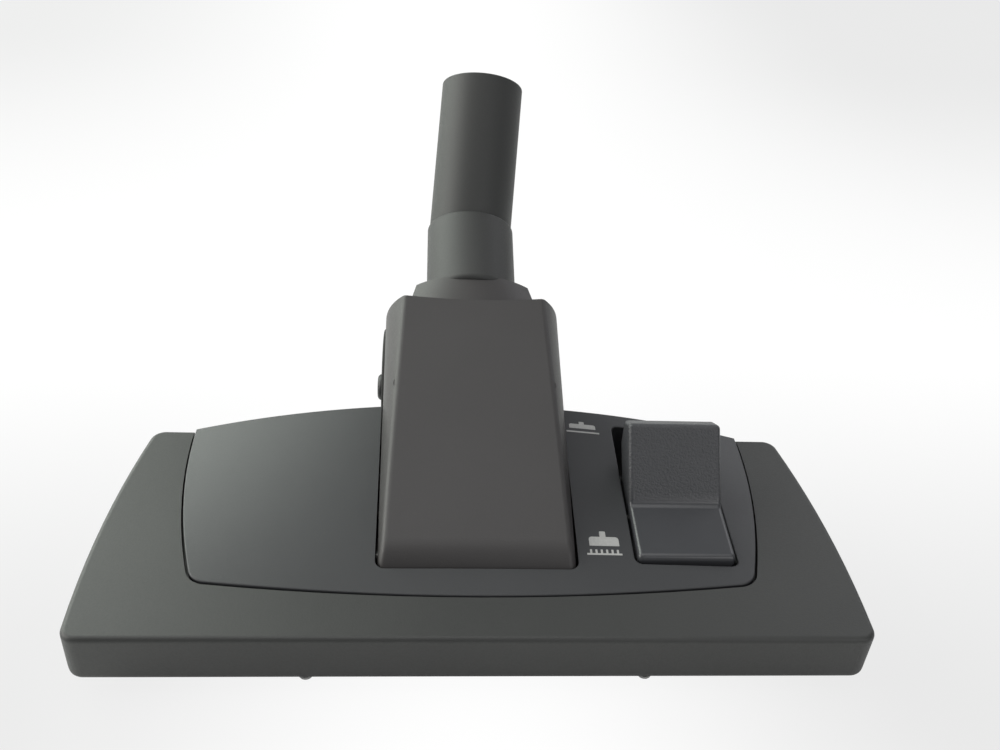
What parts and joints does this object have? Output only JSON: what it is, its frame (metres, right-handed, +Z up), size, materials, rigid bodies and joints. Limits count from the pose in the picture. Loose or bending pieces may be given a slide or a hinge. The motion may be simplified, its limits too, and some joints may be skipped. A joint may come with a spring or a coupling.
{
  "type": "vacuum floor brush head",
  "caption": "Wide low floor head with a tilting hooded neck on rear wheels, a swivel elbow for the wand, and a rocker pedal that lowers or lifts the bristle strips.",
  "frame": {"origin": "on the sole plate's underside, on the middle line, 55 mm behind the front edge", "axes": "+X to the right along the width, +Y from the front edge to the wand, +Z up from the floor"},
  "size_m": [0.2818, 0.2667, 0.1471],
  "materials": {
    "housing_plastic": "moulded, fine satin grain, dark grey",
    "cover_plastic": "moulded, satin, dark grey",
    "sole_steel": "rolled stainless sheet",
    "lint_velvet": "short-pile lint strip",
    "screw_steel": "zinc-plated screws",
    "pin_steel": "ground pin",
    "carrier_plastic": "moulded",
    "bristle_nylon": "nylon tufts",
    "pedal_plastic": "moulded, half gloss with a grained rear face",
    "neck_plastic": "moulded, fine satin grain, dark grey",
    "duct_plastic": "moulded",
    "seal_rubber": "moulded ring",
    "wheel_plastic": "moulded",
    "tyre_rubber": "soft tread",
    "tube_plastic": "moulded, satin, dark grey"
  },
  "bodies": {
    "base": {"base_housing": "housing_plastic", "top_cover": "cover_plastic", "sole_plate": "sole_steel", "lint_strip_front": "lint_velvet", "lint_strip_rear": "lint_velvet", "cover_screws": "screw_steel", "sole_screws": "screw_steel", "pedal_axle": "pin_steel", "tilt_pin_left": "pin_steel", "tilt_pin_right": "pin_steel"},
    "brush": {"brush_carrier": "carrier_plastic", "front_bristles": "bristle_nylon", "rear_bristles": "bristle_nylon"},
    "pedal": {"pedal": "pedal_plastic"},
    "neck": {"neck_hood": "neck_plastic", "neck_duct": "duct_plastic", "neck_end_cap": "neck_plastic", "neck_screws": "screw_steel", "wheel_axle": "pin_steel", "swivel_seal": "seal_rubber"},
    "left_wheel": {"wheel_left": "wheel_plastic", "tyre_left": "tyre_rubber", "hub_cap_left": "wheel_plastic"},
    "right_wheel": {"wheel_right": "wheel_plastic", "tyre_right": "tyre_rubber", "hub_cap_right": "wheel_plastic"},
    "elbow": {"swivel_elbow": "tube_plastic", "wand_tube": "tube_plastic", "retaining_ring": "duct_plastic"}
  },
  "joints": [
    {"name": "neck_tilt", "type": "hinge", "parent": "base", "child": "neck", "pos_m": [0, -0.007, 0.013], "axis": [1, 0, 0], "range_deg": [-3, 40]},
    {"name": "wand_swivel", "type": "hinge", "parent": "neck", "child": "elbow", "pos_m": [0, -0.00509, 0.00838], "axis": [0, 0.9239, 0.3827], "continuous": true},
    {"name": "pedal_rock", "type": "hinge", "parent": "base", "child": "pedal", "pos_m": [0.0786, 0.0104, 0.01804], "axis": [1, 0, 0], "range_deg": [-44, 0]},
    {"name": "brush_lift", "type": "slide", "parent": "base", "child": "brush", "axis": [0, 0, 1], "range_m": [0, 0.0072]},
    {"name": "left_wheel_spin", "type": "hinge", "parent": "neck", "child": "left_wheel", "pos_m": [-0.0342, 0.095, 0.021], "axis": [1, 0, 0], "continuous": true},
    {"name": "right_wheel_spin", "type": "hinge", "parent": "neck", "child": "right_wheel", "pos_m": [0.0342, 0.095, 0.021], "axis": [1, 0, 0], "continuous": true}
  ],
  "couplings": [
    {"joint": "brush_lift", "follows": "pedal_rock", "m_per_rad": -0.00924}
  ]
}
